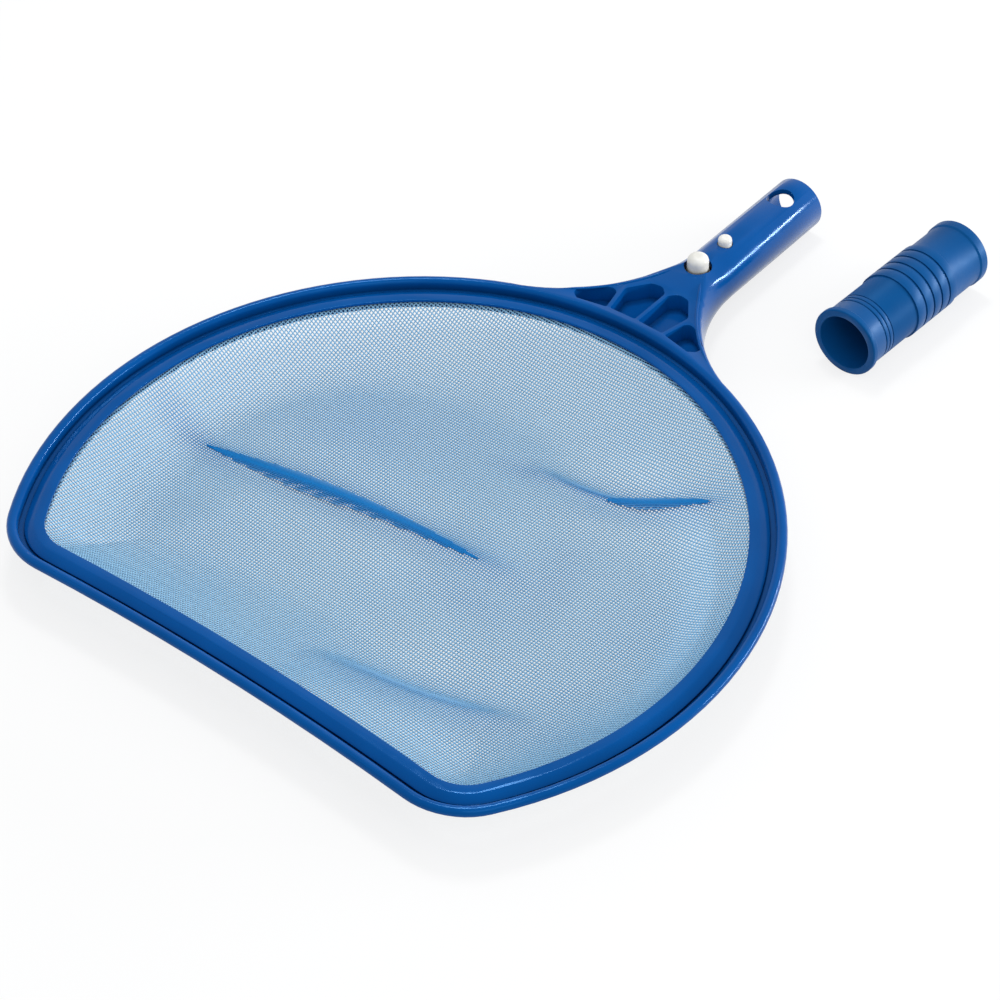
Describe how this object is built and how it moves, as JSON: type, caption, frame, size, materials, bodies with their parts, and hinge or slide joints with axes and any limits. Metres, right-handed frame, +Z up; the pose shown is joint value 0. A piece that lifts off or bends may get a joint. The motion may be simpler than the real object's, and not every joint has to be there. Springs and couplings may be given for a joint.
{
  "type": "leaf skimmer net",
  "caption": "Flat leaf skimmer net for a pool: D-shaped blue hoop holding a fine slack net, ribbed neck, handle tube with sprung lock buttons, and a loose pole adaptor sleeve.",
  "frame": {"origin": "centre of the handle tube's open end, on the tube's axis", "axes": "+Y out of the handle tube towards the pole, +Z up out of the net's open side, +X to the side where the loose adaptor lies"},
  "size_m": [0.317, 0.4106, 0.0329],
  "materials": {
    "frame_plastic": "gloss moulded polypropylene, saturated blue",
    "ring_plastic": "gloss moulded polypropylene, saturated blue",
    "net_cloth": "fine woven nylon net, light blue",
    "button_plastic": "off-white moulded plastic",
    "spring_steel": "bright spring strip",
    "adaptor_plastic": "satin moulded polypropylene, blue"
  },
  "bodies": {
    "skimmer": {"skimmer_frame": "frame_plastic", "net_retaining_ring": "ring_plastic", "net_skirt": "net_cloth", "net_panel": "net_cloth", "lock_spring_lower_leg": "spring_steel"},
    "lock_lever": {"lock_spring_upper_leg": "spring_steel", "release_button": "button_plastic", "lock_button": "button_plastic"},
    "adaptor": {"adaptor_sleeve": "adaptor_plastic"}
  },
  "joints": [
    {"name": "lock_press", "type": "slide", "parent": "skimmer", "child": "lock_lever", "axis": [0, 0, -1], "range_m": [0, 0.004], "stiffness_N_per_m": 2000, "springref_m": -0.003},
    {"name": "adaptor_lift", "type": "slide", "parent": "skimmer", "child": "adaptor", "axis": [0, 0, 1], "range_m": [0, 0.15]}
  ]
}
